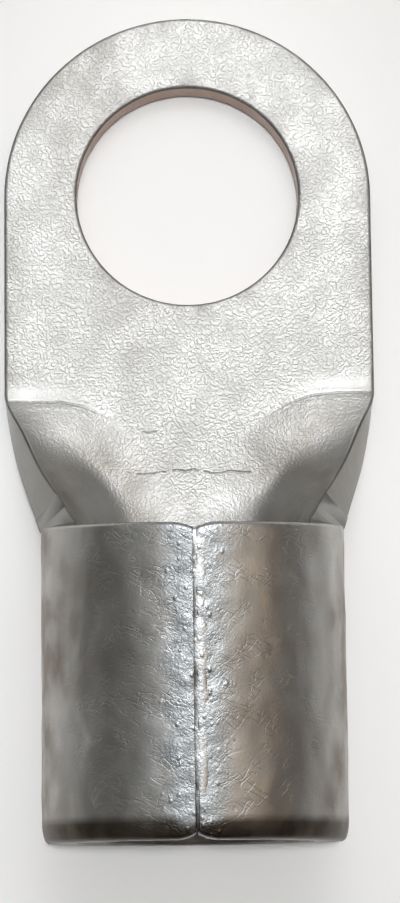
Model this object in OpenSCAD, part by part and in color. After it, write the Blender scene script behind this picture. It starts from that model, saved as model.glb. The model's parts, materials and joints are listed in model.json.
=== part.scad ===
// Ring terminal, blanked and rolled from one sheet of tinned copper.
// A flat tongue with a stud hole curls up through a trough-shaped neck into a
// round barrel, whose edges meet in a brazed seam along its top.
// The stud hole's axis is Z, its centre on the tongue's underside is the
// origin, and the barrel runs towards -Y. Millimetres.

/* [Sheet] */
// Thickness of the sheet
sheet_t = 2.0; // [1.6:0.1:2.4]
// Rounding of the blanked edges
edge_r = 0.2; // [0.1:0.05:0.3]

/* [Tongue] */
// Width across the tongue's parallel sides
tongue_w = 21.5; // [20:0.5:26]
// Diameter of the stud hole
stud_d = 13; // [8.4:0.1:14]
// Stud hole centre to the line where the sheet starts to curl
tongue_l = 11.8; // [11:0.1:16]

/* [Neck] */
// Length over which the flat sheet curls up into a half pipe
neck_l = 8.6; // [6:0.1:10]
// Angle of the sheet's edge where the neck meets the barrel
neck_curl = 86; // [80:1:88]
// How late the edge curls: 1 is even, more is later
curl_power = 1.75; // [1:0.05:2]
// Share of the half width that is still flat where the curl starts
flat_start = 0.74; // [0.6:0.01:0.9]
// Share of the neck's length at which no flat floor is left
flat_run = 0.75; // [0.4:0.05:0.9]
// How late the neck narrows: share of the narrowing that comes near its end
waist_late = 0.2; // [0:0.01:0.6]
// Loss of thickness on each face where the sheet is stretched
neck_thin = 0.02; // [0.01:0.01:0.05]
// Half the width of the floor that the die pressed flat, at the crease
crease_w = 8; // [6:0.5:9]
// Depth of the crease at the tongue's edges
crease_d = 0.08; // [0.04:0.01:0.12]
// Distance from the middle at which the crease has faded out
crease_gap = 1.4; // [0.5:0.1:3]

/* [Barrel] */
// Bore that takes the conductor
bore_d = 12.8; // [12:0.1:14]
// Length of the barrel along its underside
barrel_l = 17.4; // [14:0.1:24]
// Angle by which the front edge leans back above mid height
front_lean = 5.5; // [0:0.5:14]
// Depth of the rolled-over front edge
front_roll = 0.3; // [0.1:0.05:0.4]
// Length of the rolled-over edge at the wire end
mouth_roll_l = 1.2; // [0.4:0.1:1.5]
// Depth of the rolled-over edge at the wire end
mouth_roll_d = 0.45; // [0.2:0.05:0.6]
// Lead-in bevel inside the wire end
mouth_bevel = 0.3; // [0.1:0.05:0.5]

/* [Seam] */
// Width of the groove that the filler leaves along the seam
seam_w = 0.36; // [0.2:0.02:0.6]
// Depth of that groove
seam_d = 0.18; // [0.1:0.02:0.4]
// Width of the notch where the two corners meet at each end
notch_w = 2.2; // [1:0.1:3]
// Depth of that notch
notch_d = 0.3; // [0.2:0.02:0.6]

/* [Hidden] */

$fn = 96;
// Overlap of one stretch with the next inside the metal
lap = 0.5;
// Size of the cutters, larger than anything they cut
big = 60;
// Steps along the neck, across its flat floor, round its arc and its corners
neck_steps = 18;
floor_steps = 4;
arc_steps = 14;
corner_steps = 3;
// Segments of a rounded edge
roll_steps = 5;
// Steps along each half of the crease and each half of a notch
crease_steps = 8;
notch_steps = 5;

tongue_r = tongue_w / 2;
bore_r = bore_d / 2;
barrel_r = bore_r + sheet_t;
barrel_y = -(tongue_l + neck_l);
mouth_y = barrel_y - barrel_l;
neck_end_w = barrel_r * sin(neck_curl);

// Quarter of an ellipse about a centre, from one angle to another
function quarter(cx, cy, rx, ry, from, to, steps) =
    [for (i = [0 : steps]) let (a = from + (to - from) * i / steps)
        [cx + rx * cos(a), cy + ry * sin(a)]];

// Tongue: half of the plate's section, from the middle out to the blanked edge
function plate_section(width) = concat(
    [[0, 0]],
    quarter(width - edge_r, edge_r, edge_r, edge_r, -90, 0, roll_steps),
    quarter(width - edge_r, sheet_t - edge_r, edge_r, edge_r, 0, 90, roll_steps),
    [[0, sheet_t]]);

// Cutter for the stud hole, whose rims are rounded over like the outline
module stud_hole() {
    rotate_extrude()
        polygon(concat(
            [[0, -1], [stud_d / 2 + edge_r + 1, -1], [stud_d / 2 + edge_r, 0]],
            quarter(stud_d / 2 + edge_r, edge_r, -edge_r, -edge_r, 90, 0, roll_steps),
            quarter(stud_d / 2 + edge_r, sheet_t - edge_r, -edge_r, edge_r, 0, 90,
                roll_steps),
            [[stud_d / 2 + edge_r + 1, sheet_t + 1], [0, sheet_t + 1]]));
}

module tongue() {
    difference() {
        union() {
            rotate_extrude(angle = 180) polygon(plate_section(tongue_r));
            for (side = [0, 1]) mirror([side, 0, 0])
                rotate([90, 0, 0]) linear_extrude(tongue_l)
                    polygon(plate_section(tongue_r));
        }
        stud_hole();
    }
}

// Neck: where s runs from 0 at the tongue to 1 at the barrel
function curl(s) = max(0.05, neck_curl * pow(s, curl_power));
function floor_w(s) = flat_start * tongue_r * pow(max(0, 1 - s / flat_run), 1.5);
function half_w(s) = tongue_r
    - (tongue_r - neck_end_w) * ((1 - waist_late) * pow(s, 1.3) + waist_late * pow(s, 5));
function outer_r(s) = (half_w(s) - floor_w(s)) / sin(curl(s));

// Point of the sheet at an angle round the arc and a height above its underside
function arc_point(s, angle, height) =
    [floor_w(s) + (outer_r(s) - height) * sin(angle),
     outer_r(s) - (outer_r(s) - height) * cos(angle)];

// Angle at which the arc stops short of the rounded corner
function arc_end(s, height) =
    curl(s) - (edge_r + 2 * neck_thin) / (outer_r(s) - height) * 180 / PI;

// Corner between a face and the cut edge, in the tilted frame of that edge
function corner(s, height, dir) =
    let (tip = arc_point(s, curl(s), 0), c = cos(curl(s)), n = sin(curl(s)))
    [for (p = quarter(-neck_thin - edge_r, height + dir * edge_r,
            edge_r, -dir * edge_r, 90, 0, corner_steps))
        [tip[0] + p[0] * c - p[1] * n, tip[1] + p[0] * n + p[1] * c]];

// Right half of one face of the section, from the middle out to the cut edge
function half_face(s, height, dir) = concat(
    [for (i = [0 : floor_steps]) [floor_w(s) * i / floor_steps, height]],
    [for (i = [1 : arc_steps]) arc_point(s, arc_end(s, height) * i / arc_steps, height)],
    corner(s, height, dir));

// Whole face from the left edge to the right edge
function face(s, height, dir) =
    let (half = half_face(s, height, dir), last = len(half) - 1)
    concat([for (i = [last : -1 : 1]) [-half[i][0], half[i][1]]], half);

function section(s) =
    let (low = face(s, neck_thin, 1), high = face(s, sheet_t - neck_thin, -1))
    concat(low, [for (i = [len(high) - 1 : -1 : 0]) high[i]]);

module neck() {
    // Shape parameter and place of each section, lapped into both neighbours
    stations = concat([[0, lap]],
        [for (i = [0 : neck_steps]) [i / neck_steps, -neck_l * i / neck_steps]],
        [[1, -neck_l - lap]]);
    rings = [for (st = stations) [for (p = section(st[0])) [p[0], st[1], p[1]]]];
    m = len(rings[0]);
    last = (len(rings) - 1) * m;
    sides = [for (k = [0 : len(rings) - 2], i = [0 : m - 1])
        let (a = k * m + i, b = k * m + (i + 1) % m)
        each [[a, b + m, b], [a, a + m, b + m]]];
    caps = [for (i = [0 : m / 2 - 2])
        let (a = i, b = i + 1, c = m - 2 - i, d = m - 1 - i)
        each [[a, b, c], [a, c, d],
              [last + a, last + c, last + b], [last + a, last + d, last + c]]];
    translate([0, -tongue_l, 0])
        polyhedron(points = [for (r = rings) each r], faces = concat(sides, caps));
}

// Crease: where its curved line lies below the neck line, and how deep it is there
function crease_fall(x) = pow(max(0, crease_w - x) / 3.15, 1.8);
function crease_depth(x) = crease_d * min(1, (x - crease_gap) / (crease_w - crease_gap));
function crease_point(x) = [x, -tongue_l - crease_fall(x)];

// Wedge-shaped cutter for one stretch of the crease
module crease_stretch(from, to) {
    a = crease_point(from);
    b = crease_point(to);
    depth = crease_depth((from + to) / 2);
    translate([a[0], a[1], sheet_t]) rotate([90, 0, 90 + atan2(b[1] - a[1], b[0] - a[0])])
        linear_extrude(norm(b - a) + 0.02)
            polygon([[0, -depth], [2 * depth + 0.2, 0.1], [-2 * depth - 0.2, 0.1]]);
}

module crease() {
    step = (crease_w - crease_gap) / crease_steps;
    for (side = [0, 1]) mirror([side, 0, 0]) {
        for (i = [0 : crease_steps - 1])
            crease_stretch(crease_gap + i * step, crease_gap + (i + 1) * step);
        crease_stretch(crease_w, tongue_r + 1);
    }
}

// Barrel: wall section as radius and distance from the front edge
module barrel_wall() {
    translate([0, barrel_y, barrel_r]) rotate([90, 0, 0]) rotate_extrude()
        polygon(concat(
            [[bore_r, 0], [barrel_r, 0]],
            quarter(barrel_r - mouth_roll_d, barrel_l - mouth_roll_l,
                mouth_roll_d, mouth_roll_l, 0, 90, roll_steps),
            [[bore_r + mouth_bevel, barrel_l], [bore_r, barrel_l - mouth_bevel]]));
}

// Cutter for the leaning front edge with its rolled-over rim, above mid height
module front_cut() {
    intersection() {
        translate([-big / 2, barrel_y - big / 2, barrel_r]) cube(big);
        translate([0, barrel_y, barrel_r]) rotate([front_lean, 0, 0])
            rotate([90, 0, 0]) rotate_extrude()
                polygon(concat(
                    [[0, -big / 2], [big / 2, -big / 2], [big / 2, big / 4]],
                    quarter(barrel_r - front_roll, front_roll, front_roll, -front_roll,
                        0, 90, roll_steps),
                    [[0, 0]]));
    }
}

// Cutters for the seam: a shallow groove, and a hollow-sided notch at each end
module seam_groove() {
    translate([0, barrel_y + 1, 2 * barrel_r]) rotate([90, 0, 0])
        linear_extrude(barrel_l + 2)
            polygon([[-seam_w / 2, 0.1], [-seam_w / 2, 0], [0, -seam_d],
                [seam_w / 2, 0], [seam_w / 2, 0.1]]);
}

module seam_notch(dir) {
    linear_extrude(barrel_r + 1)
        polygon(concat([[-notch_w / 2, -dir], [notch_w / 2, -dir]],
            [for (i = [notch_steps : -1 : -notch_steps]) let (t = i / notch_steps)
                [t * notch_w / 2, dir * notch_d * pow(1 - abs(t), 2)]]));
}

module barrel() {
    difference() {
        barrel_wall();
        front_cut();
        seam_groove();
        translate([0, barrel_y, barrel_r]) rotate([front_lean, 0, 0]) seam_notch(-1);
        translate([0, mouth_y, barrel_r]) seam_notch(1);
    }
}

module terminal() {
    color("gainsboro") {
        difference() {
            union() {
                tongue();
                neck();
            }
            crease();
        }
        barrel();
    }
}

terminal();
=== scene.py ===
"""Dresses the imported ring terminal: a folded sheet of tinned copper with a brazed seam."""

from __future__ import annotations

import json
import logging
import math
import random
from contextlib import contextmanager
from dataclasses import dataclass, field
from typing import Callable, Iterator

import bmesh
import bpy
from mathutils import Matrix, Vector, noise


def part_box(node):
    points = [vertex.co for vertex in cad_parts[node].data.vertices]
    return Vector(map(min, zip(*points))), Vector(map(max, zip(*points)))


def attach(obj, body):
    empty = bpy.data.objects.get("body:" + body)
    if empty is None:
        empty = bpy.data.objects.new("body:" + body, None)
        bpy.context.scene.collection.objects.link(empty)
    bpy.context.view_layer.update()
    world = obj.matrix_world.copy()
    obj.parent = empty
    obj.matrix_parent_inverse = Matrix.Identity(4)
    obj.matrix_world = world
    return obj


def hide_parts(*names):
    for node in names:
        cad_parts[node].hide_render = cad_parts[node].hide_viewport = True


LOG = logging.getLogger("ring_terminal")
MM = 0.001
NEAR = 0.001 * MM
Colour = tuple[float, float, float, float]
Pair = tuple[float, float]
Piece = bpy.types.Object
Socket = bpy.types.NodeSocket

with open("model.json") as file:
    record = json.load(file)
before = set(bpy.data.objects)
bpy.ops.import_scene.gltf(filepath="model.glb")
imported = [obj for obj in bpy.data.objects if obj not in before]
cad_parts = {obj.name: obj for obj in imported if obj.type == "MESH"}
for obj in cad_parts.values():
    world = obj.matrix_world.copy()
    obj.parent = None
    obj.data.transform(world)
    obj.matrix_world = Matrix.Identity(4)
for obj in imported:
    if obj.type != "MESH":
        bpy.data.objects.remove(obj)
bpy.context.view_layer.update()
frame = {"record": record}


def lerp(a: float, b: float, t: float) -> float:
    """Returns the value a share t of the way from a to b."""
    return a + (b - a) * t


def ease(low: float, high: float, value: float) -> float:
    """Returns 0 below low, 1 above high, and an even S-curve between them."""
    t = min(1.0, max(0.0, (value - low) / (high - low)))
    return t * t * (3.0 - 2.0 * t)


def deselect_all() -> None:
    """Leaves object mode with nothing selected and nothing active."""
    if bpy.context.object and bpy.context.object.mode != "OBJECT":
        bpy.ops.object.mode_set(mode="OBJECT")
    bpy.ops.object.select_all(action="DESELECT")
    bpy.context.view_layer.objects.active = None


def make_active(piece: Piece) -> None:
    """Selects one piece alone and makes it active.

    Args:
        piece: The object to work on next.
    """
    deselect_all()
    piece.select_set(True)
    bpy.context.view_layer.objects.active = piece


@contextmanager
def editing(piece: Piece) -> Iterator[None]:
    """Opens one piece in edit mode and closes it again.

    Args:
        piece: The object to edit.
    """
    make_active(piece)
    bpy.ops.object.mode_set(mode="EDIT")
    yield
    bpy.ops.object.mode_set(mode="OBJECT")


def select_edges(piece: Piece, wanted: Callable[[Vector, Vector], bool]) -> None:
    """Selects, in edit mode, the edges whose two ends pass a test, and nothing else.

    Args:
        piece: The object that is in edit mode.
        wanted: A test of an edge's two end points.
    """
    mesh = bmesh.from_edit_mesh(piece.data)
    bpy.context.tool_settings.mesh_select_mode = (False, True, False)
    for part in (*mesh.faces, *mesh.verts):
        part.select = False
    for edge in mesh.edges:
        edge.select = wanted(edge.verts[0].co, edge.verts[1].co)
    mesh.select_flush_mode()
    bmesh.update_edit_mesh(piece.data)


def apply_modifier(piece: Piece, kind: str, **settings: object) -> None:
    """Adds a modifier with its settings to a piece and applies it.

    Args:
        piece: The object to change.
        kind: Blender's name for the type of modifier.
        settings: Values for the modifier's properties.
    """
    make_active(piece)
    modifier = piece.modifiers.new(kind.title(), kind)
    for name, value in settings.items():
        setattr(modifier, name, value)
    bpy.ops.object.modifier_apply(modifier=modifier.name)


@dataclass(frozen=True)
class TerminalSizes:
    """Sizes of the terminal in metres, worked out from the frame where it holds them.

    Attributes:
        tongue_r: Half the tongue's width, and the radius of its round end.
        stud_r: Radius of the stud hole.
        sheet_t: Thickness of the sheet.
        bore_r: Radius of the barrel's bore.
        mouth_y: Place of the wire end.
        barrel_y: Place of the barrel's front edge below mid height.
        neck_y: Line where the flat sheet starts to curl.
        neck_curl: Angle of the sheet's edge where the neck meets the barrel.
        curl_power: How late the edge curls along the neck.
        flat_start: Share of the half width that is flat where the curl starts.
        flat_run: Share of the neck's length at which no flat floor is left.
        waist_late: Share of the neck's narrowing that comes near its end.
        front_lean: Angle by which the front edge leans back above mid height.
        edge_r: Rounding of the blanked edges.
    """

    tongue_r: float
    stud_r: float
    sheet_t: float
    bore_r: float
    mouth_y: float
    barrel_y: float
    neck_y: float
    neck_curl: float = math.radians(86)
    curl_power: float = 1.6
    flat_start: float = 0.74
    flat_run: float = 0.85
    waist_late: float = 0.2
    front_lean: float = math.radians(5.5)
    edge_r: float = 0.2 * MM

    @classmethod
    def from_frame(cls, record: dict) -> TerminalSizes:
        """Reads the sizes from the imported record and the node's box.

        Args:
            record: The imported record.

        Returns:
            The sizes of the terminal.
        """
        mounts = {mount["name"]: mount for mount in record["mounts"]}
        low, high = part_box("terminal")
        thickness = mounts["washer_face"]["pos_m"][2] - mounts["contact_face"]["pos_m"][2]
        return cls(
            tongue_r=high.x,
            stud_r=mounts["stud_hole"]["dims"]["r_mm"] * MM,
            sheet_t=thickness,
            bore_r=mounts["wire_barrel"]["dims"]["r_mm"] * MM,
            mouth_y=low.y,
            barrel_y=low.y + 17.4 * MM,
            neck_y=low.y + 26.0 * MM,
        )

    @property
    def mid_r(self) -> float:
        """Radius of the middle of the barrel's wall."""
        return self.bore_r + self.sheet_t / 2

    @property
    def barrel_r(self) -> float:
        """Outer radius of the barrel, and the height of its axis."""
        return self.bore_r + self.sheet_t

    @property
    def neck_l(self) -> float:
        """Length of the neck."""
        return self.neck_y - self.barrel_y

    def curl(self, s: float) -> float:
        """Returns the angle of the sheet's edge at a share s of the neck."""
        return max(0.001, self.neck_curl * s**self.curl_power)

    def floor_w(self, s: float) -> float:
        """Returns half the width of the neck's flat floor at a share s of the neck."""
        return self.flat_start * self.tongue_r * max(0.0, 1.0 - s / self.flat_run) ** 1.5

    def half_w(self, s: float) -> float:
        """Returns half the neck's width over its lower corners at a share s of the neck."""
        narrowing = self.tongue_r - self.barrel_r * math.sin(self.neck_curl)
        return self.tongue_r - narrowing * ((1 - self.waist_late) * s**1.3 + self.waist_late * s**5)

    def outer_r(self, s: float) -> float:
        """Returns the radius of the neck's underside at a share s of the neck."""
        return (self.half_w(s) - self.floor_w(s)) / math.sin(self.curl(s))


@dataclass
class FoldedSheet:
    """The terminal's one sheet: a thick blank with rounded rims that is then curled and rolled.

    Attributes:
        sizes: Sizes of the terminal.
        pitch: Spacing of the mesh's rows and columns.
        ring_cuts: Loops between the stud hole and the outline.
        seam_gap: Half the gap between the barrel's two meeting edges.
        ring_y: Line below the stud hole where the ring of faces ends.
        corner_r: Radius of the blank's inner corners, where the wings start.
        rim_angle: Least angle between the two faces of a rim's edge.
        rim_profile: Fullness of the rims' rounding.
        seam_share: Share of the rims' rounding that is left along the seam.
        floor_dip: How far the trough's floor is pressed down on each side of its middle.
        dip_along: Shares of the neck between which the dip sets in.
        dip_end: Distances into the barrel between which it runs out.
        dip_across: Distances from the middle line at which it starts, is deepest and ends.
        wing_w: Flat width of each wing that closes the barrel.
    """

    sizes: TerminalSizes
    pitch: float = 0.23 * MM
    ring_cuts: int = 17
    seam_gap: float = 0.05 * MM
    ring_y: float = -10.0 * MM
    corner_r: float = 1.5 * MM
    rim_angle: float = math.radians(50)
    rim_profile: float = 0.55
    seam_share: float = 0.35
    floor_dip: float = 0.8 * MM
    dip_along: Pair = (0.3, 0.75)
    dip_end: Pair = (-0.2 * MM, 3.2 * MM)
    dip_across: tuple[float, float, float] = (0.6 * MM, 4.3 * MM, 7.4 * MM)
    wing_w: float = field(init=False)

    def __post_init__(self) -> None:
        """Works out the flat width of the wings that close the barrel."""
        share = (math.pi - self.sizes.neck_curl) / self.sizes.neck_curl
        self.wing_w = self.sizes.tongue_r * share

    def build(self) -> Piece:
        """Makes the whole folded sheet.

        Returns:
            The finished mesh object, with its place in its mesh.
        """
        piece = self._punch_ring()
        for end_y in (self.sizes.neck_y, self.sizes.barrel_y, self.sizes.mouth_y):
            self._draw_out(piece, end_y)
        for side in (-1, 1):
            self._widen(piece, side)
        for vert in piece.data.vertices:
            vert.co.y += self._corner_fill(vert.co.x, vert.co.y)
        apply_modifier(piece, "SOLIDIFY", thickness=self.sizes.sheet_t, offset=0.0, use_rim=True)
        with editing(piece):
            bpy.ops.mesh.select_all(action="SELECT")
            bpy.ops.mesh.normals_make_consistent(inside=False)
        self._weigh_rims(piece)
        apply_modifier(piece, "BEVEL", width=self.sizes.edge_r, segments=3, limit_method="WEIGHT",
                       profile=self.rim_profile)
        SheetRelief(self.sizes, self).press_into(piece)
        return piece

    def _outline(self) -> list[Vector]:
        """Spaces out the ring's outer points, anticlockwise from the right.

        Returns:
            The points.
        """
        r, low = self.sizes.tongue_r, self.ring_y
        side = max(2, round(-low / self.pitch))
        base = 2 * round(r / self.pitch)
        arc = 2 * round(math.pi * r / 2 / self.pitch)
        points = [Vector((r * math.cos(math.pi * i / arc), r * math.sin(math.pi * i / arc), 0))
                  for i in range(arc)]
        points += [Vector((-r, low * i / side, 0)) for i in range(side)]
        points += [Vector((lerp(-r, r, i / base), low, 0)) for i in range(base)]
        points += [Vector((r, lerp(low, 0, i / side), 0)) for i in range(side)]
        return points

    def _punch_ring(self) -> Piece:
        """Makes the flat ring of faces between the stud hole and the outline.

        Returns:
            The new object.
        """
        outline = self._outline()
        deselect_all()
        bpy.ops.mesh.primitive_circle_add(vertices=len(outline), radius=self.sizes.stud_r)
        piece = bpy.context.object
        piece.name = "folded_sheet"
        with editing(piece):
            bpy.ops.mesh.primitive_circle_add(vertices=len(outline), radius=self.sizes.tongue_r)
            mesh = bmesh.from_edit_mesh(piece.data)
            mesh.verts.ensure_lookup_table()
            for i, point in enumerate(outline):
                angle = math.atan2(point.y, point.x)
                inner = Vector((math.cos(angle), math.sin(angle), 0)) * self.sizes.stud_r
                mesh.verts[i].co = inner
                mesh.verts[len(outline) + i].co = point
            bpy.ops.mesh.select_all(action="SELECT")
            bpy.ops.mesh.bridge_edge_loops(number_cuts=self.ring_cuts, interpolation="LINEAR")
        return piece

    def _draw_out(self, piece: Piece, end_y: float) -> None:
        """Extends the blank from its lowest edge down to a line, in even rows.

        Args:
            piece: The blank.
            end_y: The line that the blank then reaches.
        """
        low = min(vert.co.y for vert in piece.data.vertices)
        near = self.pitch / 10
        rows = max(1, round((low - end_y) / self.pitch))
        with editing(piece):
            select_edges(piece, lambda a, b: abs(a.y - low) < near and abs(b.y - low) < near)
            bpy.ops.mesh.extrude_region_move(
                TRANSFORM_OT_translate={"value": (0, end_y - low, 0)})
            select_edges(piece, lambda a, b: abs(abs(a.y - b.y) - (low - end_y)) < near)
            bpy.ops.mesh.subdivide(number_cuts=rows - 1)

    def _widen(self, piece: Piece, side: int) -> None:
        """Extends the blank sideways beside the barrel into the wing that will close it.

        Args:
            piece: The blank.
            side: 1 for the right wing, -1 for the left one.
        """
        edge_x, near = side * self.sizes.tongue_r, self.pitch / 10
        columns = round(self.wing_w / self.pitch)
        with editing(piece):
            select_edges(piece, lambda a, b: all(
                abs(p.x - edge_x) < near and p.y < self.sizes.barrel_y + near for p in (a, b)))
            bpy.ops.mesh.extrude_region_move(
                TRANSFORM_OT_translate={"value": (side * self.wing_w, 0, 0)})
            select_edges(piece, lambda a, b: abs(abs(a.x - b.x) - self.wing_w) < near)
            bpy.ops.mesh.subdivide(number_cuts=columns - 1)

    def _weigh_rims(self, piece: Piece) -> None:
        """Weighs the rims' edges for the rounding.

        Args:
            piece: The blank with its thickness.
        """
        mesh = bmesh.new()
        mesh.from_mesh(piece.data)
        weight = mesh.edges.layers.float.new("bevel_weight_edge")
        seam_x = self.sizes.tongue_r + self.wing_w - NEAR
        for edge in mesh.edges:
            level = abs(edge.verts[0].co.z - edge.verts[1].co.z) < NEAR
            if level and edge.calc_face_angle(0.0) > self.rim_angle:
                at_seam = all(abs(vert.co.x) > seam_x for vert in edge.verts)
                edge[weight] = self.seam_share if at_seam else self._rim_share(
                    (edge.verts[0].co + edge.verts[1].co) / 2)
        mesh.to_mesh(piece.data)
        mesh.free()

    def _rim_share(self, place: Vector) -> float:
        """Lets the rims' rounding fade out towards the blank's inner corners.

        Args:
            place: A place on a rim of the blank.

        Returns:
            The share of the rounding that is left there.
        """
        beyond = (abs(place.x) - self.sizes.tongue_r) / self.corner_r
        if beyond < -0.01:
            return 1.0
        if beyond > 0.01:
            return ease(0.15, 0.85, beyond)
        return ease(self.corner_r, 1.5 * self.corner_r, abs(place.y - self.sizes.barrel_y))

    def _corner_fill(self, x: float, y: float) -> float:
        """Rounds the inner corners, where the wings start.

        Args:
            x: A point's place across the blank.
            y: Its place along the blank.

        Returns:
            How far the point slides forward.
        """
        beyond = (abs(x) - self.sizes.tongue_r) / self.corner_r
        if beyond >= 1 or abs(y - self.sizes.barrel_y) > 3 * self.corner_r:
            return 0.0
        rise = 1 - math.sqrt(1 - (1 - beyond) ** 2) if beyond > 0 else math.exp(2 * beyond)
        near_front = 1 - ease(0, 3 * self.corner_r, abs(y - self.sizes.barrel_y))
        return self.corner_r * rise * near_front

    def folded(self, x: float, y: float) -> Vector:
        """Places a point of the flat blank on the folded sheet's middle surface.

        Args:
            x: The point's place across the blank.
            y: The point's place along the blank.

        Returns:
            The point in the terminal's frame.
        """
        sizes = self.sizes
        half_t = sizes.sheet_t / 2
        if y >= sizes.neck_y - NEAR:
            return Vector((x, y, half_t))
        side = math.copysign(1.0, x)
        across = abs(x) / sizes.tongue_r
        if y > sizes.barrel_y + NEAR:
            s = (sizes.neck_y - y) / sizes.neck_l
            floor, radius = sizes.floor_w(s), sizes.outer_r(s) - half_t
            along = across * (floor + radius * sizes.curl(s))
            if along <= floor:
                return Vector((side * along, y, half_t))
            angle = (along - floor) / radius
            out = floor + radius * math.sin(angle)
            rise = radius * (1 - math.cos(angle))
            return Vector((side * out, y, half_t + self._lowered(rise, out, y)))
        if across <= 1.0:
            angle = across * sizes.neck_curl
        else:
            end = math.pi - self.seam_gap / sizes.mid_r
            angle = lerp(sizes.neck_curl, end, (abs(x) - sizes.tongue_r) / self.wing_w)
        lean = max(0.0, -math.cos(angle)) * sizes.mid_r * math.tan(sizes.front_lean)
        fade = (y - sizes.mouth_y) / (sizes.barrel_y - sizes.mouth_y)
        out = sizes.mid_r * math.sin(angle)
        rise = sizes.mid_r * (1 - math.cos(angle))
        if angle < math.pi / 2:
            rise = self._lowered(rise, out, y)
        return Vector((side * out, y - lean * fade, half_t + rise))

    def _lowered(self, rise: float, out: float, y: float) -> float:
        """Returns the height that the press leaves of the sheet's rise above the tongue.

        Args:
            rise: The height that plain curling gives.
            out: The point's distance from the trough's middle line.
            y: Its place along the terminal.

        Returns:
            The height left, which is never below the tongue.
        """
        sizes = self.sizes
        start, deepest, end = self.dip_across
        into = ease(*self.dip_along, (sizes.neck_y - y) / sizes.neck_l)
        past = 1 - ease(*self.dip_end, sizes.barrel_y - y)
        across = ease(start, deepest, out) * (1 - ease(deepest, end, out))
        return rise * rise / (rise + self.floor_dip * into * past * across + 0.01 * NEAR)


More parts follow.
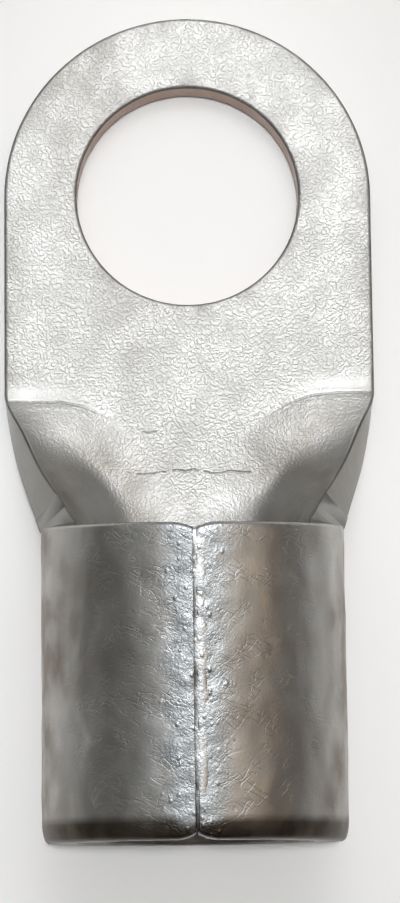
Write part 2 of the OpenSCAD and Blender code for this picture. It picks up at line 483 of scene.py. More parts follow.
@dataclass
class SheetRelief:
    """What the press, the rolls and handling left in the sheet's surface.

    Attributes:
        sizes: Sizes of the terminal.
        sheet: The folded sheet, for its middle surface.
        crease_w: Half the width of the tongue's coined floor at the crease.
        crease_run: Reach of the crease's curve, in from there.
        crease_skew: How much lower the crease lies at the left edge than at the right one.
        coin_step: Height of the step where the die flattened the tongue.
        ridge: Height of the ridge that the die pushed up beside that step.
        swell: Height and length of the sheet's swelling below that step.
        waviness: Height of the sheet's slow waves.
        roll_front: Depth and length of the rolled-over front edge of the barrel.
        roll_mouth: Depth and length of the rolled-over edge at the wire end.
        notch: Depth and half width of the notch where the barrel's corners meet.
        unevenness: Height of the rolled barrel's broad unevenness.
        hammering: Height of the small dents along the seam.
        worn_skin: Share of the pebbled skin that the rolls left on the barrel.
        edge_dark_w: How far the darkening reaches in from the blanked edges.
        wetting: Mean reach of the braze's wetting beside the seam, and its raggedness.
        mouth_band_l: Length of the darker band at the wire end.
        mouth_band_tip: How much shorter that band is at the seam.
    """

    sizes: TerminalSizes
    sheet: FoldedSheet
    crease_w: float = 8.0 * MM
    crease_run: float = 3.15 * MM
    crease_skew: float = 0.5 * MM
    coin_step: float = 0.08 * MM
    ridge: float = 0.03 * MM
    swell: Pair = (0.38 * MM, 1.3 * MM)
    waviness: float = 0.02 * MM
    roll_front: Pair = (0.2 * MM, 0.32 * MM)
    roll_mouth: Pair = (0.35 * MM, 1.2 * MM)
    notch: Pair = (0.3 * MM, 1.15 * MM)
    unevenness: float = 0.035 * MM
    hammering: float = 0.05 * MM
    worn_skin: float = 0.15
    edge_dark_w: float = 0.45 * MM
    wetting: Pair = (1.55 * MM, 0.7 * MM)
    mouth_band_l: float = 1.3 * MM
    mouth_band_tip: float = 0.62 * MM

    def press_into(self, piece: Piece) -> None:
        """Folds the sheet, moves its points for the relief and stores its masks.

        Args:
            piece: The flat sheet with its thickness and its rounded rims.
        """
        mesh = piece.data
        normals = [vert.normal.copy() for vert in mesh.vertices]
        rows = []
        for vert, normal in zip(mesh.vertices, normals):
            flat, height = Vector((vert.co.x, vert.co.y, 0)), vert.co.z
            middle = self.sheet.folded(flat.x, flat.y)
            face_normal = self._face_normal(flat)
            vert.co = middle + face_normal * height + self._offset(flat, middle, face_normal, height)
            rows.append(self._skin_masks(flat, height) | self._edge_masks(flat, abs(normal.z))
                        | self._colour_masks(flat, height))
        for name in rows[0]:
            layer = mesh.attributes.new(name, "FLOAT", "POINT")
            layer.data.foreach_set("value", [row[name] for row in rows])
        mesh.update()

    def _face_normal(self, flat: Vector) -> Vector:
        """Works out the middle surface's unit normal, on the side of the tongue's top.

        Args:
            flat: A place on the blank.

        Returns:
            The normal there.
        """
        step, place = 0.25 * MM, self.sheet.folded
        front = flat.y + step
        if abs(flat.x) > self.sizes.tongue_r + self.sheet.corner_r:
            front = min(front, self.sizes.barrel_y)
        along = place(flat.x, front) - place(flat.x, flat.y - step)
        across = place(flat.x + 0.2 * step, flat.y) - place(flat.x - 0.2 * step, flat.y)
        return across.cross(along).normalized()

    def _from_seam(self, flat: Vector) -> float:
        """Works out how far round the barrel a point lies from the seam.

        Args:
            flat: Its place on the blank.

        Returns:
            The distance along the middle surface.
        """
        sizes = self.sizes
        flat_w = sizes.tongue_r + self.sheet.wing_w - abs(flat.x)
        return flat_w * sizes.neck_curl * sizes.mid_r / sizes.tongue_r

    def _crease_depth(self, flat: Vector) -> float:
        """Works out how far a point lies below the curved crease line.

        Args:
            flat: Its place on the blank.

        Returns:
            The distance, which is negative on the tongue.
        """
        skew = self.crease_skew * (1 - flat.x / self.sizes.tongue_r) / 2
        fall = self.sizes.neck_y - skew - flat.y
        inside = max(0.0, self.crease_w - abs(flat.x)) / self.crease_run
        steep = math.sqrt(1 + (0.57 * inside**0.8) ** 2)
        return (fall - 1.0 * MM * inside**1.8) / steep

    def _crease_strength(self, flat: Vector) -> float:
        """Returns how sharp the crease is: full at the tongue's edges, none in the middle."""
        return ease(1.2 * MM, 7.6 * MM, abs(flat.x))

    def _skin_masks(self, flat: Vector, height: float) -> dict[str, float]:
        """Works out how pebbled and how burnished the skin is, and how far off the crease runs.

        Args:
            flat: A point's place on the blank.
            height: Its height above the middle surface.

        Returns:
            Each mask's value by its name.
        """
        sizes, depth, pebble = self.sizes, self._crease_depth(flat), self.worn_skin
        if flat.y > sizes.neck_y:
            pebble = 1.0
        elif flat.y > sizes.barrel_y + NEAR:
            pebble = 1.0 - 0.3 * ease(0.0, 1.6 * MM, depth)
            pebble -= 0.15 * ease(4 * MM, 7 * MM, sizes.neck_y - flat.y)
        band = ease(-1.7 * MM, -0.5 * MM, depth) * (1 - ease(-0.1 * MM, 0.05 * MM, depth))
        burnish = 0.8 * band * ease(5 * MM, 9.5 * MM, abs(flat.x))
        on_top = height > 0
        return {"pebble": pebble, "burnish": burnish if on_top else 0.0,
                "fold": depth / MM if on_top else 9.0}

    def _edge_masks(self, flat: Vector, flatness: float) -> dict[str, float]:
        """Marks the cut walls and the rims for painted shade, the darkening beside them and the stud
        hole's bare copper.

        Args:
            flat: A point's place on the blank.
            flatness: How squarely its normal points up or down there.

        Returns:
            Each mask's value by its name.
        """
        sizes, out = self.sizes, flat.length - self.sizes.stud_r
        inside = min(sizes.tongue_r - (flat.length if flat.y > 0 else abs(flat.x)), out)
        # Darkening that fades inwards from the blanked edges.
        edge_darkening = math.exp(-max(0.0, inside) / self.edge_dark_w) if flat.y > sizes.barrel_y else 0.0
        off_wall = ease(0.1, 0.4, flatness)
        # Painted shade on the cut walls that face sideways, and a painted dark line along the rounded
        # rims, partly dirt.
        return {"cut": 1.0 - ease(0.45, 0.97, flatness),
                "rim": ease(0.05, 0.3, 1 - flatness) * off_wall,
                "edge_darkening": edge_darkening,
                "copper": (1 - ease(0.0, 0.3 * MM, out)) * (1 - off_wall)}

    def _colour_masks(self, flat: Vector, height: float) -> dict[str, float]:
        """Marks where copper shows through, where painted shade darkens the curled lobes and the
        barrel's flanks, where braze has wetted the tin, and the darker band at the wire end.

        Args:
            flat: A point's place on the blank.
            height: Its height above the middle surface.

        Returns:
            Each mask's value by its name.
        """
        sizes, seam, x, y = self.sizes, self._from_seam(flat), flat.x / MM, flat.y / MM
        wave = noise.noise(Vector((x * 0.16 + 3.1, y * 0.11, 0.4)))
        mottle = noise.noise(Vector((x * 0.55, y * 0.5, 8.4)))
        worked = ease(0, 6 * MM, sizes.neck_y - flat.y)
        on_barrel = ease(-1 * MM, 1 * MM, sizes.barrel_y - flat.y)
        # Painted shade: the barrel's flanks, which turn away from the light, and the curled lobes
        # beyond the crease get a darker warm tint.
        flank_shade = ease(5 * MM, 11 * MM, seam) * on_barrel
        lobe_shade = ease(-0.1 * MM, 0.8 * MM, self._crease_depth(flat)) * self._crease_strength(flat)
        # Copper showing through: slow waves and mottle, stronger where the neck was worked; the lobe
        # and flank terms add painted shade.
        warmth_and_shade = 0.05 + 0.15 * worked + 0.4 * (wave + worked * mottle)
        warmth_and_shade += 0.35 * lobe_shade * (1 - on_barrel) + 0.9 * flank_shade
        masks = {"warmth_and_shade": min(1.0, max(0.0, warmth_and_shade)), "silver": 0.0, "mouth_band": 0.0}
        if height < 0 and flat.y <= sizes.barrel_y + NEAR:
            mean, ragged = self.wetting
            reach = mean + ragged * noise.noise(Vector((y * 0.8, math.copysign(3.0, x), 1.0)))
            masks["silver"] = 1 - ease(0.55 * reach, 1.2 * reach, seam)
        # Darker band round the wire end on the barrel's outside, shorter at the seam.
        if height < 0:
            tip = self.mouth_band_tip * max(0.0, 1 - seam / self.mouth_band_l)
            wander = 0.12 * MM * noise.noise(Vector((x * 0.7, 5.0, 1.0)))
            line = sizes.mouth_y + self.mouth_band_l + wander - tip
            masks["mouth_band"] = 1 - ease(line - 0.45 * MM, line + 0.2 * MM, flat.y)
        return masks

    def _offset(self, flat: Vector, middle: Vector, face_normal: Vector, height: float) -> Vector:
        """Returns how far one point of the sheet moves.

        Args:
            flat: Its place on the blank.
            middle: Its place on the middle surface.
            face_normal: The middle surface's normal there.
            height: Its height above the middle surface.

        Returns:
            The move.
        """
        if flat.y <= self.sizes.barrel_y + NEAR:
            return self._barrel_offset(flat, middle, height)
        if height < 0:
            return Vector()
        depth = self._crease_depth(flat)
        strength = self._crease_strength(flat)
        fade = 1 - ease(1.5 * MM, 5 * MM, depth)
        step = ease(-0.08 * MM, 0.2 * MM, depth) * fade
        swell = (1 - math.exp(-max(0.0, depth) / self.swell[1])) * fade
        ridge = math.exp(-((depth + 0.35 * MM) / (0.25 * MM)) ** 2)
        wave = self.waviness * noise.noise(flat / MM * 0.35)
        top = ease(0, 0.9 * MM, height)
        coined = strength * (self.coin_step * step + self.swell[0] * swell + self.ridge * ridge)
        return face_normal * (top * (coined + wave))

    def _barrel_offset(self, flat: Vector, middle: Vector, height: float) -> Vector:
        """Works out how the barrel's edges, notches and unevenness move one of its points.

        Args:
            flat: Its place on the blank.
            middle: Its place on the middle surface.
            height: Its height above the middle surface.

        Returns:
            The move.
        """
        sizes = self.sizes
        outward = Vector((middle.x, 0, middle.z - sizes.barrel_r)).normalized()
        outer = ease(-0.1 * MM, 0.9 * MM, -height)
        seam = self._from_seam(flat)
        from_mouth, from_front = flat.y - sizes.mouth_y, sizes.barrel_y - flat.y
        wing = ease(0.0, 1.5 * MM, abs(flat.x) - sizes.tongue_r)
        near_seam = math.exp(-((seam / (1.5 * MM)) ** 2))
        drop = self._rolled(from_mouth, self.roll_mouth) * (1 - 0.5 * near_seam)
        drop += wing * self._rolled(from_front, self.roll_front)
        shape = Vector((flat.x / MM * 0.9, flat.y / MM * 0.45, 7.0))
        broad = noise.noise(shape) + 0.6 * noise.noise(shape * 2.3)
        hammered = noise.noise(Vector((flat.x / MM * 2.1, flat.y / MM * 1.6, 2.0)))
        ends = ease(0, 1.0 * MM, from_mouth) * ease(0, 1.0 * MM, from_front)
        lift = ends * (self.unevenness * broad + self.hammering * near_seam * hammered)
        depth, half = self.notch
        corner = max(0.0, 1 - seam / half) ** 2 * depth
        along = corner * ((1 - ease(0, 1.5 * MM, from_mouth))
                          - (1 - ease(0, 1.5 * MM, from_front)))
        return outward * (outer * (lift - drop)) + Vector((0, along, 0))

    @staticmethod
    def _rolled(distance: float, roll: Pair) -> float:
        """Returns how far a rolled-over edge has sunk at a distance from its end."""
        share = max(0.0, 1 - max(0.0, distance) / roll[1])
        return roll[0] * (1 - math.sqrt(1 - 0.999 * share * share))


@dataclass
class BrazedSeam:
    """The braze that fills the barrel's seam, with the small drops that it left beside it.

    Attributes:
        sizes: Sizes of the terminal.
        half_w: Half the width of the bead.
        half_t: Half the thickness of the bead.
        aside: How far the bead lies to the right of the joint.
        sides: Number of sides of the bead's section.
        pitch: Spacing of the bead's rings.
        drops: Number of small drops beside the bead.
        drop_r: Least and greatest radius of a drop.
        drop_at: Mean and spread of the drops' angle round the barrel.
        seed: Start of the drops' random draws.
    """

    sizes: TerminalSizes
    half_w: float = 0.42 * MM
    half_t: float = 0.12 * MM
    aside: float = 0.24 * MM
    sides: int = 14
    pitch: float = 0.09 * MM
    drops: int = 45
    drop_r: Pair = (0.035 * MM, 0.085 * MM)
    drop_at: Pair = (0.03, 0.085)
    seed: int = 11

    def build(self) -> Piece:
        """Makes the bead and its drops as one mesh.

        Returns:
            The finished mesh object, with its place in its mesh.
        """
        piece = self._run_bead()
        self._spatter(piece)
        return piece

    @property
    def span(self) -> Pair:
        """Ends of the bead along the barrel, front end first."""
        lean = self.sizes.mid_r * math.tan(self.sizes.front_lean)
        return self.sizes.barrel_y - lean - 0.3 * MM, self.sizes.mouth_y + 0.5 * MM

    def _run_bead(self) -> Piece:
        """Makes the lumpy bead along the joint.

        Returns:
            The new object.
        """
        front, mouth = self.span
        deselect_all()
        bpy.ops.mesh.primitive_cylinder_add(vertices=self.sides, radius=1, depth=1)
        piece = bpy.context.object
        piece.name = "brazed_seam"
        with editing(piece):
            select_edges(piece, lambda a, b: abs(a.z - b.z) > 0.5)
            bpy.ops.mesh.subdivide(number_cuts=round((front - mouth) / self.pitch) - 1)
        for vert in piece.data.vertices:
            vert.co = self._on_bead(vert.co.x, vert.co.y, vert.co.z + 0.5)
        return piece

    def _on_bead(self, across: float, up: float, share: float) -> Vector:
        """Places a point of a unit section on the bead.

        Args:
            across: Its place across the section, from -1 to 1.
            up: Its height in the section, from -1 to 1.
            share: Its place along the bead, 0 at the wire end and 1 at the front.

        Returns:
            The point in the terminal's frame.
        """
        front, mouth = self.span
        y = lerp(mouth, front, share)
        lump = noise.noise(Vector((y / MM * 1.7, 0.3, 0.1)))
        wander = noise.noise(Vector((y / MM * 0.5, 4.3, 0.1)))
        sunk = noise.noise(Vector((y / MM * 1.1, 9.3, 0.1)))
        blob = 0.6 * math.exp(-(((front - y) / (0.6 * MM)) ** 2))
        reach = min(share, 1 - share) * (front - mouth)
        end = math.sqrt(max(0.0004, 1 - (1 - min(1.0, reach / (0.35 * MM))) ** 2))
        x = self.aside * (1 - blob) + 0.05 * MM * wander + across * self.half_w * end * (
            1 + 0.45 * lump + blob)
        dip = 0.2 * MM * (1 - ease(0, 1.1 * MM, y - mouth))
        z = 2 * self.sizes.barrel_r - 0.11 * MM - dip + 0.03 * MM * sunk + up * self.half_t * end
        return Vector((x, y, z))

    def _spatter(self, piece: Piece) -> None:
        """Adds the drops, each flattened onto the barrel.

        Args:
            piece: The bead, whose mesh takes them up.
        """
        chance = random.Random(self.seed)
        front, mouth = self.span
        with editing(piece):
            for _ in range(self.drops):
                turn = Matrix.Rotation(chance.gauss(*self.drop_at), 4, "Y")
                size = chance.uniform(*self.drop_r)
                spot = turn @ Vector((0, 0, self.sizes.barrel_r - 0.22 * size))
                place = Vector((spot.x, chance.uniform(mouth + 0.8 * MM, front - 0.2 * MM),
                                spot.z + self.sizes.barrel_r))
                bpy.ops.mesh.primitive_ico_sphere_add(
                    subdivisions=2, radius=size, location=place, rotation=turn.to_euler(),
                    scale=(1, chance.uniform(0.9, 1.9), 0.35))


@dataclass(frozen=True)
class SoftLight:
    """One soft light, placed from the point that it faces.

    Attributes:
        name: Its name.
        offset: Where it stands.
        size: Its width and height.
        power: Its power in watts.
        colour: Its colour.
        glossy: Whether it shows in reflections.
        spread: How far its beam opens.
    """

    name: str
    offset: Vector
    size: Pair
    power: float
    colour: tuple[float, float, float] = (1, 1, 1)
    glossy: bool = True
    spread: float = math.pi

    def build(self, aim: Vector) -> None:
        """Adds the light.

        Args:
            aim: The point that it faces.
        """
        place = aim + self.offset
        deselect_all()
        bpy.ops.object.light_add(type="AREA", location=place)
        lamp = bpy.context.object
        lamp.name = self.name
        lamp.data.shape = "ELLIPSE"
        lamp.data.size, lamp.data.size_y = self.size
        lamp.data.energy = self.power
        lamp.data.color = self.colour
        lamp.data.spread = self.spread
        lamp.rotation_euler = (place - aim).to_track_quat("Z", "Y").to_euler()
        lamp.visible_glossy = self.glossy


@dataclass
class Studio:
    """A pale floor, soft lights and the camera that looks down on the terminal.

    Attributes:
        pitch: Lean of the view from straight down, towards the barrel.
        lateral: Lean of the view to the side.
        roll: Turn of the picture about the line of sight.
        distance: From the camera to its target.
        target: The point that the camera looks at.
        view_height: Height of the picture at the target.
        middle: The point that the lights face.
        overhead: Direction of the softboxes from there.
        overhead_l: Their distance.
        softboxes: Name, width and power of each softbox.
        floor_tone: Colour of the floor.
        room: Colour of the dim room.
    """

    pitch: float = math.radians(8.6)
    lateral: float = math.radians(-0.87)
    roll: float = math.radians(-0.65)
    distance: float = 170 * MM
    target: Vector = field(default_factory=lambda: Vector((0.51, -15.8, 6.0)) * MM)
    view_height: float = 51.1 * MM
    middle: Vector = field(default_factory=lambda: Vector((0, -14, 5)) * MM)
    overhead: Vector = field(default_factory=lambda: Vector((0.03, 0.36, 0.93)))
    overhead_l: float = 0.6
    softboxes: tuple[tuple[str, float, float], ...] = (
        ("core", 0.21, 0.5), ("inner", 0.44, 0.74), ("outer", 0.84, 0.62), ("rim", 1.7, 0.75))
    floor_tone: Colour = (0.9, 0.9, 0.9, 1)
    room: Colour = (0.06, 0.056, 0.05, 1)

    def build(self) -> None:
        """Makes the floor, the lights, the world and the camera."""
        self._floor()
        self._lights()
        self._world()
        self._camera()

    def _floor(self) -> None:
        """Makes the pale floor that the terminal lies on."""
        deselect_all()
        bpy.ops.mesh.primitive_plane_add(size=3.0, location=(0, 0, 0))
        floor = bpy.context.object
        floor.name = "floor"
        material, bench, shader = new_material("pale_floor")
        bench.feed(shader, {"Base Color": self.floor_tone, "Roughness": 0.9})
        floor.data.materials.append(material)

    def _lights(self) -> None:
        """Adds the softboxes, the floor's pool of light and a warm card at the right."""
        above = self.overhead.normalized() * self.overhead_l
        lights = [SoftLight(f"softbox_{name}", above, (width, width), power)
                  for name, width, power in self.softboxes]
        lights.append(SoftLight("back_softbox", Vector((0, 0.5, 0.3)), (0.9, 0.5), 0.32))
        lights.append(SoftLight("floor_wash", Vector((0, 0, 0.5)), (0.06, 0.1), 0.008,
                                glossy=False, spread=math.radians(6)))
        lights.append(SoftLight("warm_card", Vector((0.38, 0.02, 0.46)), (0.14, 0.5), 0.11,
                                (1, 0.66, 0.36)))
        for light in lights:
            light.build(self.middle)

    def _world(self) -> None:
        """Gives the room a dim, even grey."""
        world = bpy.data.worlds.new("room")
        world.use_nodes = True
        world.node_tree.nodes["Background"].inputs["Color"].default_value = self.room
        bpy.context.scene.world = world

    def _camera(self) -> None:
        """Places the camera, with a long lens and no shift."""
        back = Vector((math.sin(self.lateral), -math.sin(self.pitch), 0))
        back.z = math.sqrt(1 - back.length_squared)
        up = (Vector((0, 1, 0)) - back * back.y).normalized()
        right = up.cross(back)
        turn = Matrix.Rotation(self.roll, 3, back)
        right, up = turn @ right, turn @ up
        data = bpy.data.cameras.new("camera")
        data.sensor_fit = "VERTICAL"
        data.sensor_height = 36.0
        data.lens = data.sensor_height * self.distance / self.view_height
        data.clip_start = 0.01
        camera = bpy.data.objects.new("camera", data)
        bpy.context.scene.collection.objects.link(camera)
        pose = Matrix((right, up, back)).transposed().to_4x4()
        pose.translation = self.target + back * self.distance
        camera.matrix_world = pose
        bpy.context.scene.camera = camera


@dataclass(frozen=True)
class NodeBench:
    """Adds, sets and links the nodes of one tree.

    Attributes:
        tree: The tree that the nodes are added to.
    """

    tree: bpy.types.NodeTree

    def feed(self, node: bpy.types.Node, inputs: dict[int | str, object]) -> None:
        """Links a node's inputs to outputs, or sets their own values.

        Args:
            node: The node.
            inputs: Outputs or values, by the inputs' names or numbers.
        """
        for key, value in inputs.items():
            if isinstance(value, Socket):
                self.tree.links.new(value, node.inputs[key])
            else:
                node.inputs[key].default_value = value

    def add(self, kind: str, inputs: dict[int | str, object], **settings: object) -> bpy.types.Node:
        """Adds a node.

        Args:
            kind: Its type, without the leading ShaderNode.
            inputs: Outputs or values, by the inputs' names or numbers.
            settings: Values for the node's properties.

        Returns:
            The new node.
        """
        node = self.tree.nodes.new("ShaderNode" + kind)
        for name, value in settings.items():
            setattr(node, name, value)
        self.feed(node, inputs)
        return node

    def group(self, tree: bpy.types.NodeTree) -> bpy.types.NodeOutputs:
        """Returns the outputs of a node group."""
        return self.add("Group", {}, node_tree=tree).outputs

    def attribute(self, name: str) -> Socket:
        """Returns the value of one of the mesh's masks."""
        return self.add("Attribute", {}, attribute_name=name).outputs["Fac"]

    def math(self, operation: str, *values: object, clamp: bool = False) -> Socket:
        """Returns the result of a sum on outputs or numbers."""
        inputs = dict(enumerate(values))
        return self.add("Math", inputs, operation=operation, use_clamp=clamp).outputs[0]

    def times(self, first: object, second: object) -> Socket:
        """Returns the product of two values."""
        return self.math("MULTIPLY", first, second)

    def gap(self, first: object, second: object) -> Socket:
        """Returns how far apart two values lie."""
        return self.math("ABSOLUTE", self.math("SUBTRACT", first, second))

    def blend(self, share: object, first: object, second: object) -> Socket:
        """Returns a mix of two colours."""
        return self.add("Mix", {0: share, 6: first, 7: second}, data_type="RGBA").outputs[2]

    def ramp(self, value: object, low: float, high: float, to_low: float = 0.0,
             to_high: float = 1.0) -> Socket:
        """Returns a value carried smoothly from one range to another."""
        inputs = dict(enumerate((value, low, high, to_low, to_high)))
        return self.add("MapRange", inputs, interpolation_type="SMOOTHSTEP").outputs[0]

    def noise(self, vector: Socket, scale: float, detail: float = 2.0,
              distortion: float = 0.0) -> Socket:
        """Returns an even noise of 0 to 1."""
        return self.add("TexNoise", {"Vector": vector, "Scale": scale, "Detail": detail,
                                     "Distortion": distortion}).outputs[0]

    def bump(self, height: Socket, distance: float, strength: object = 1.0,
             below: Socket | None = None, invert: bool = False) -> Socket:
        """Returns the normal that a relief gives, laid over the normal below it."""
        inputs = {"Height": height, "Distance": distance, "Strength": strength}
        return self.add("Bump", inputs | ({"Normal": below} if below else {}), invert=invert).outputs[0]

    def place_in_mm(self, stretch: tuple[float, float, float] = (1, 1, 1),
                    turn: tuple[float, float, float] = (0, 0, 0)) -> Socket:
        """Returns the point's place on the object in millimetres, turned and then stretched."""
        inputs = {"Vector": self.add("TexCoord", {}).outputs["Object"], "Rotation": turn}
        return self.add("Mapping", {"Vector": self.add("Mapping", inputs).outputs[0],
                                    "Scale": [part / MM for part in stretch]}).outputs[0]


def new_material(name: str) -> tuple[bpy.types.Material, NodeBench, bpy.types.Node]:
    """Makes a material.

    Args:
        name: Its name.

    Returns:
        The material, a bench for its nodes, and its shader.
    """
    material = bpy.data.materials.new(name)
    material.use_nodes = True
    tree = material.node_tree
    return material, NodeBench(tree), tree.nodes["Principled BSDF"]


class SurfaceEffects:
    """The node groups that the terminal's materials share."""

    def __init__(self) -> None:
        """Makes the groups."""
        self.grain = self._group("pebble_grain", self._fill_grain)
        self.strokes = self._group("handling_strokes", self._fill_strokes)
        self.speckles = self._group("braze_specks", self._fill_speckles)
        self.blotches = self._group("dull_blotches", self._fill_blotches)

    @staticmethod
    def _group(name: str, fill: Callable[[NodeBench], dict[str, Socket]]) -> bpy.types.NodeTree:
        """Makes one group.

        Args:
            name: Its name.
            fill: Adds its nodes and returns the socket for each output by its name.

        Returns:
            The group.
        """
        tree = bpy.data.node_groups.new(name, "ShaderNodeTree")
        results = fill(NodeBench(tree))
        for label in results:
            tree.interface.new_socket(name=label, in_out="OUTPUT", socket_type="NodeSocketFloat")
        end = tree.nodes.new("NodeGroupOutput")
        for label, result in results.items():
            tree.links.new(result, end.inputs[label])
        return tree

    @staticmethod
    def _fill_grain(bench: NodeBench) -> dict[str, Socket]:
        """Adds small rounded pebbles, parted by thin winding valleys.

        Args:
            bench: Adds the nodes.

        Returns:
            The pebbles' height, and the valleys' mask.
        """
        place = bench.place_in_mm()
        pebble = bench.gap(bench.noise(place, 3.6, 1.0), 0.5)
        speck = bench.gap(bench.noise(place, 7.0, 0.0), 0.5)
        height = bench.math("ADD", bench.ramp(pebble, -0.04, 0.19),
                            bench.times(bench.ramp(speck, -0.04, 0.14), 0.35))
        return {"Height": height,
                "Cavity": bench.math("SUBTRACT", 1.0, bench.ramp(pebble, 0.0, 0.13))}

    @staticmethod
    def _fill_strokes(bench: NodeBench) -> dict[str, Socket]:
        """Adds short curved strokes, about a millimetre long, in two directions.

        Args:
            bench: Adds the nodes.

        Returns:
            The height that the strokes leave.
        """
        strokes = []
        for turn, stretch in ((0.45, 3.4), (-0.75, 3.0)):
            place = bench.place_in_mm((0.9, stretch, 0.9), (0, 0, turn))
            line = bench.gap(bench.noise(place, 1.0, 0.5, 0.5), 0.5)
            strokes.append(bench.math("SUBTRACT", 1.0, bench.ramp(line, 0.0, 0.05)))
        patch = bench.ramp(bench.noise(bench.place_in_mm(), 0.9, 1.0), 0.4, 0.62)
        mark = bench.times(bench.math("MAXIMUM", *strokes), patch)
        return {"Height": bench.math("SUBTRACT", 1.0, mark)}

    @staticmethod
    def _fill_speckles(bench: NodeBench) -> dict[str, Socket]:
        """Adds small round specks of braze, about a fifth of a millimetre wide.

        Args:
            bench: Adds the nodes.

        Returns:
            The specks' height.
        """
        place = bench.place_in_mm((1.0, 0.8, 1.0))
        cells = bench.add("TexVoronoi", {"Vector": place, "Scale": 2.4})
        parts = bench.add("SeparateColor", {0: cells.outputs["Color"]})
        chosen = bench.math("GREATER_THAN", parts.outputs[0], 0.45)
        speck = bench.ramp(cells.outputs["Distance"], 0.0, 0.36, 1.0, 0.0)
        return {"Height": bench.times(speck, chosen)}

    @staticmethod
    def _fill_blotches(bench: NodeBench) -> dict[str, Socket]:
        """Adds slow dull patches, a little drawn out along the terminal.

        Args:
            bench: Adds the nodes.

        Returns:
            The patches' mask.
        """
        place = bench.place_in_mm((0.8, 0.6, 0.8))
        return {"Mask": bench.ramp(bench.noise(place, 0.8, 2.0), 0.35, 0.65)}


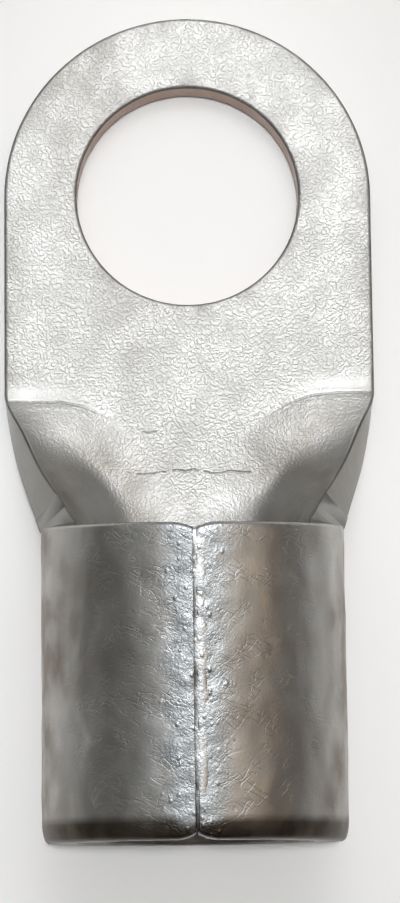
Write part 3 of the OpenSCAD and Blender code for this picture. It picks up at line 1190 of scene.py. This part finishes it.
@dataclass(frozen=True)
class TinFinish:
    """A tinned finish.

    Attributes:
        name: The material's name.
        plating: Colour of clean tin.
        warm: Colour where copper shows through thin tin, and the darker warm tint of the painted shade
            on the lobes and the barrel's flanks.
        painted_shade_grey: Colour of the painted shade on the cut walls, in the grain's hollows and
            along the crease and press lines, and of the darkening along the blanked edges.
        rim: Colour of the dark line along the rounded rims: painted shade, partly dirt.
        copper: Colour of the stud hole's punched wall.
        mouth_band: Colour of the darker band at the wire end.
        silver: Colour where the braze has wetted the tin.
        roughness: Roughness of clean tin.
        grain_depth: Depth of the pebbled skin.
        stroke_depth: Depth of the handling strokes.
        bead_height: Height of the braze's specks.
        hairlines: Middle and half length of each line that the press left, in millimetres.
    """

    name: str = "tinned_copper"
    plating: Colour = (0.67, 0.675, 0.665, 1)
    warm: Colour = (0.28, 0.245, 0.205, 1)
    painted_shade_grey: Colour = (0.33, 0.32, 0.3, 1)
    rim: Colour = (0.12, 0.125, 0.135, 1)
    copper: Colour = (0.36, 0.24, 0.18, 1)
    mouth_band: Colour = (0.09, 0.075, 0.06, 1)
    silver: Colour = (0.5, 0.53, 0.55, 1)
    roughness: float = 0.34
    grain_depth: float = 0.013 * MM
    stroke_depth: float = 0.012 * MM
    bead_height: float = 0.03 * MM
    hairlines: tuple[tuple[float, float, float], ...] = ((0.0, -16.4, 3.6), (-2.3, -14.0, 0.6))

    def build(self, effects: SurfaceEffects) -> bpy.types.Material:
        """Makes the material.

        Args:
            effects: The shared node groups.

        Returns:
            The material.
        """
        material, bench, shader = new_material(self.name)
        grain, dull = bench.group(effects.grain), bench.group(effects.blotches)["Mask"]
        pebble, silver = bench.attribute("pebble"), bench.attribute("silver")
        skin = bench.times(pebble, bench.math("SUBTRACT", 1.0, bench.attribute("burnish")))
        # The warm tint: partly copper showing through, partly painted shade on the lobes and the
        # barrel's flanks.
        warmth_and_shade = bench.times(bench.attribute("warmth_and_shade"), bench.math("MULTIPLY_ADD", dull, 0.3, 0.7))
        # Crease and press lines: grooves in the bump, with painted shade in the colour.
        crack = bench.math("MAXIMUM", self._press_lines(bench), self._fold_line(bench))

        # Painted shade in the hollows of the pebbled grain.
        hollow = bench.times(bench.times(grain["Cavity"], skin), 0.18)
        # Darkening along the blanked edges, patchy.
        edge_darkening = bench.times(bench.attribute("edge_darkening"), bench.math("MULTIPLY_ADD", dull, 0.5, 0.3))
        # Darker band at the wire end, blending towards the warm tint in patches.
        mouth_band = bench.blend(bench.times(dull, 0.35), self.mouth_band, self.warm)
        colour = self.plating
        # Painted shade: the cut walls, the crease and press lines and the rounded rims are darkened in
        # the colour, the rims partly for dirt.
        for share, coat in ((warmth_and_shade, self.warm), (silver, self.silver), (hollow, self.painted_shade_grey),
                            (edge_darkening, self.painted_shade_grey), (bench.attribute("cut"), self.painted_shade_grey),
                            (bench.attribute("copper"), self.copper),
                            (bench.times(crack, 0.55), self.painted_shade_grey),
                            (bench.attribute("mouth_band"), mouth_band), (bench.attribute("rim"), self.rim)):
            colour = bench.blend(share, colour, coat)

        rough = bench.math("MULTIPLY_ADD", bench.math("ADD", dull, warmth_and_shade), 0.07, self.roughness)
        rough = bench.math("SUBTRACT", rough, bench.times(silver, 0.08))

        worn = bench.math("SUBTRACT", 1.0, pebble, clamp=True)
        grainy = bench.math("ADD", skin, bench.times(silver, 0.35), clamp=True)
        normal = bench.bump(crack, 2 * self.stroke_depth, invert=True)
        for height, depth, share in (
                (bench.group(effects.speckles)["Height"], self.bead_height, silver),
                (bench.group(effects.strokes)["Height"], self.stroke_depth, bench.times(worn, 0.7)),
                (grain["Height"], self.grain_depth, grainy)):
            normal = bench.bump(height, depth, share, normal)
        bench.feed(shader, {"Base Color": colour, "Roughness": rough, "Normal": normal,
                            "Metallic": bench.math("MULTIPLY_ADD", pebble, -0.2, 1.0)})
        return material

    @staticmethod
    def _fold_line(bench: NodeBench) -> Socket:
        """Adds the thin line that follows the curved crease: a groove with painted shade in it.

        Args:
            bench: Adds the nodes.

        Returns:
            The line's mask.
        """
        place = bench.place_in_mm()
        across = bench.add("SeparateXYZ", {0: place}).outputs[0]
        wander = bench.times(bench.math("SUBTRACT", bench.noise(place, 1.1), 0.5), 0.2)
        off = bench.math("ABSOLUTE", bench.math("ADD", bench.attribute("fold"), wander))
        aside = bench.math("ABSOLUTE", across)
        return bench.times(bench.ramp(off, 0.03, 0.1, 1.0, 0.0), bench.ramp(aside, 3.4, 7.5, 0.0, 0.8))

    def _press_lines(self, bench: NodeBench) -> Socket:
        """Adds the hairlines that the press left across the trough's floor: grooves with painted shade
        in them.

        Args:
            bench: Adds the nodes.

        Returns:
            The lines' mask.
        """
        place = bench.place_in_mm()
        across, along, up = bench.add("SeparateXYZ", {0: place}).outputs
        wander = bench.times(bench.math("SUBTRACT", bench.noise(place, 0.55), 0.5), 1.1)
        masks = []
        for line_x, line_y, half_l in self.hairlines:
            off = bench.gap(bench.math("ADD", along, wander), line_y)
            ends = bench.ramp(bench.gap(across, line_x), half_l - 0.3, half_l, 1.0, 0.0)
            masks.append(bench.times(bench.ramp(off, 0.02, 0.07, 1.0, 0.0), ends))
        broken = bench.ramp(bench.noise(place, 1.3), 0.36, 0.46)
        both = bench.times(bench.math("MAXIMUM", *masks), broken)
        return bench.times(both, bench.ramp(up, 1.0, 1.6))


@dataclass(frozen=True)
class BrazeFinish:
    """The bright, lumpy braze.

    Attributes:
        name: The material's name.
        bright: Colour of its tops.
        dull: Colour of the painted shade in its hollows, and of its dull patches.
        roughness: Its roughness.
        grain_depth: Depth of its grain.
    """

    name: str = "braze"
    bright: Colour = (0.76, 0.79, 0.81, 1)
    dull: Colour = (0.52, 0.52, 0.51, 1)
    roughness: float = 0.32
    grain_depth: float = 0.006 * MM

    def build(self, effects: SurfaceEffects) -> bpy.types.Material:
        """Makes the material.

        Args:
            effects: The shared node groups.

        Returns:
            The material.
        """
        material, bench, shader = new_material(self.name)
        grain, patches = bench.group(effects.grain), bench.group(effects.blotches)["Mask"]
        # Painted shade in the grain's hollows, together with random dull patches.
        hollow = bench.math("MAXIMUM", bench.times(grain["Cavity"], 0.4), bench.times(patches, 0.35))
        specks = bench.group(effects.speckles)["Height"]
        height = bench.math("ADD", grain["Height"], bench.times(specks, 4.0))
        bench.feed(shader, {"Base Color": bench.blend(hollow, self.bright, self.dull),
                            "Metallic": 1.0, "Roughness": self.roughness,
                            "Normal": bench.bump(height, self.grain_depth)})
        return material


def main() -> None:
    """Builds the terminal and the studio in order."""
    logging.basicConfig(level=logging.INFO, format="%(message)s")
    bpy.context.scene.view_settings.view_transform = "Standard"
    Studio().build()
    effects = SurfaceEffects()
    sizes = TerminalSizes.from_frame(frame["record"])
    sheet, seam = FoldedSheet(sizes).build(), BrazedSeam(sizes).build()
    for piece, finish in ((sheet, TinFinish()), (seam, BrazeFinish())):
        piece.data.materials.clear()
        piece.data.materials.append(finish.build(effects))
        make_active(piece)
        bpy.ops.object.shade_smooth()
        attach(piece, "root")
        LOG.info("%s: %d faces", piece.name, len(piece.data.polygons))
    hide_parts("terminal")


if __name__ == "__main__":
    main()
